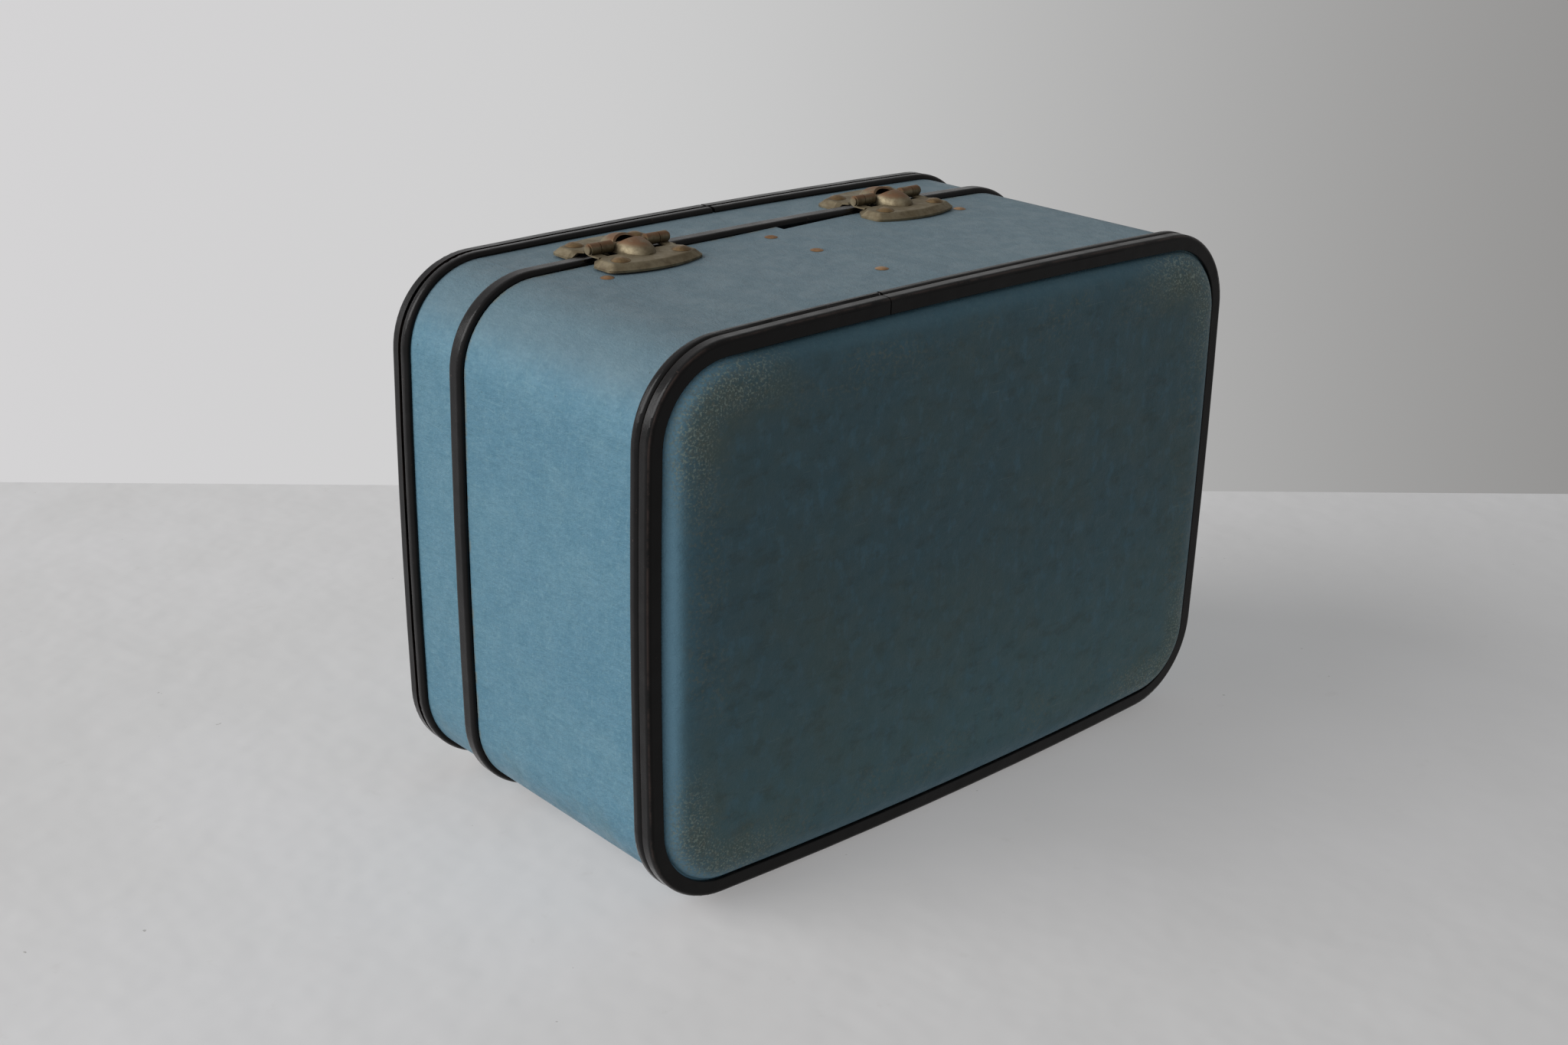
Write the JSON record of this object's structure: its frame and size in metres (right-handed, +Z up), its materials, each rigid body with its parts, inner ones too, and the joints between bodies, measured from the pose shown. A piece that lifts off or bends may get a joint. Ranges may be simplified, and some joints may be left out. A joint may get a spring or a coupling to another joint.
{
  "type": "vanity case",
  "caption": "Hard-sided vanity case with a deep body and a hinged shallow lid, domed stop hinges, lever latches, a top handle and a mirror in the lid.",
  "frame": {"origin": "middle of the flat face under the bottom board, which the case stands on", "axes": "+X along the case to its right end seen from the front, +Y to the back where the hinges are, +Z up through the lid"},
  "size_m": [0.333, 0.2444, 0.1964],
  "materials": {
    "blue_leatherette_board": "embossed leathercloth, satin, over bent fibreboard",
    "black_vinyl": "dull gloss",
    "lining_paper": "matt",
    "collar_board": "matt",
    "mirror_glass": "polished",
    "frame_plastic": "satin",
    "grip_vinyl": "dull gloss",
    "coppered_steel": "dull copper-plated steel",
    "spring_steel": "bright",
    "brassed_steel": "tarnished brass-plated steel"
  },
  "bodies": {
    "body": {"body_collar": "collar_board", "body_lining": "lining_paper", "body_wall": "blue_leatherette_board", "body_welt": "black_vinyl", "bottom_panel": "blue_leatherette_board", "collar_rivets": "coppered_steel", "hasp_pin_left": "brassed_steel", "hasp_pin_right": "brassed_steel", "hinge_body_leaf_left": "brassed_steel", "hinge_body_leaf_right": "brassed_steel", "hinge_body_rivets": "brassed_steel", "hinge_pin_left": "brassed_steel", "hinge_pin_right": "brassed_steel", "latch_housing_left": "brassed_steel", "latch_housing_right": "brassed_steel", "latch_plate_left": "brassed_steel", "latch_plate_right": "brassed_steel", "latch_plate_rivets": "brassed_steel", "latch_spring_left": "spring_steel", "latch_spring_right": "spring_steel", "seam_rivets": "coppered_steel"},
    "lid": {"handle_bracket_left": "brassed_steel", "handle_bracket_right": "brassed_steel", "handle_bracket_rivets": "brassed_steel", "hinge_lid_leaf_left": "brassed_steel", "hinge_lid_leaf_right": "brassed_steel", "hinge_lid_rivets": "brassed_steel", "latch_keeper_left": "brassed_steel", "latch_keeper_right": "brassed_steel", "latch_keeper_rivets": "brassed_steel", "lid_lining": "lining_paper", "lid_panel": "blue_leatherette_board", "lid_rim_bead": "black_vinyl", "lid_wall": "blue_leatherette_board", "lid_welt": "black_vinyl", "mirror": "mirror_glass", "mirror_frame": "frame_plastic"},
    "handle": {"handle_cap_left": "brassed_steel", "handle_cap_right": "brassed_steel", "handle_grip": "grip_vinyl", "handle_loop_left": "brassed_steel", "handle_loop_right": "brassed_steel"},
    "hasp_left": {"latch_hasp_left": "brassed_steel"},
    "hasp_right": {"latch_hasp_right": "brassed_steel"},
    "slide_left": {"latch_slide_left": "brassed_steel"},
    "slide_right": {"latch_slide_right": "brassed_steel"}
  },
  "joints": [
    {"name": "lid_hinge", "type": "hinge", "parent": "body", "child": "lid", "pos_m": [0, 0.11847, 0.1265], "axis": [-1, 0, 0], "range_deg": [0, 100]},
    {"name": "hasp_left_hinge", "type": "hinge", "parent": "body", "child": "hasp_left", "pos_m": [-0.08811, -0.11792, 0.0952], "axis": [0.9995, -0.0325, 0], "range_deg": [0, 150]},
    {"name": "hasp_right_hinge", "type": "hinge", "parent": "body", "child": "hasp_right", "pos_m": [0.08811, -0.11792, 0.0952], "axis": [0.9995, 0.0325, 0], "range_deg": [0, 150]},
    {"name": "slide_left_travel", "type": "slide", "parent": "body", "child": "slide_left", "axis": [-0.9995, 0.0325, 0], "range_m": [0, 0.004], "stiffness_N_per_m": 400, "springref_m": -0.002, "deforming": ["latch_spring_left"]},
    {"name": "slide_right_travel", "type": "slide", "parent": "body", "child": "slide_right", "axis": [0.9995, 0.0325, 0], "range_m": [0, 0.004], "stiffness_N_per_m": 400, "springref_m": -0.002, "deforming": ["latch_spring_right"]},
    {"name": "handle_hinge", "type": "hinge", "parent": "lid", "child": "handle", "pos_m": [0, 0, 0.1843], "axis": [-1, 0, 0], "range_deg": [0, 161.7]}
  ]
}
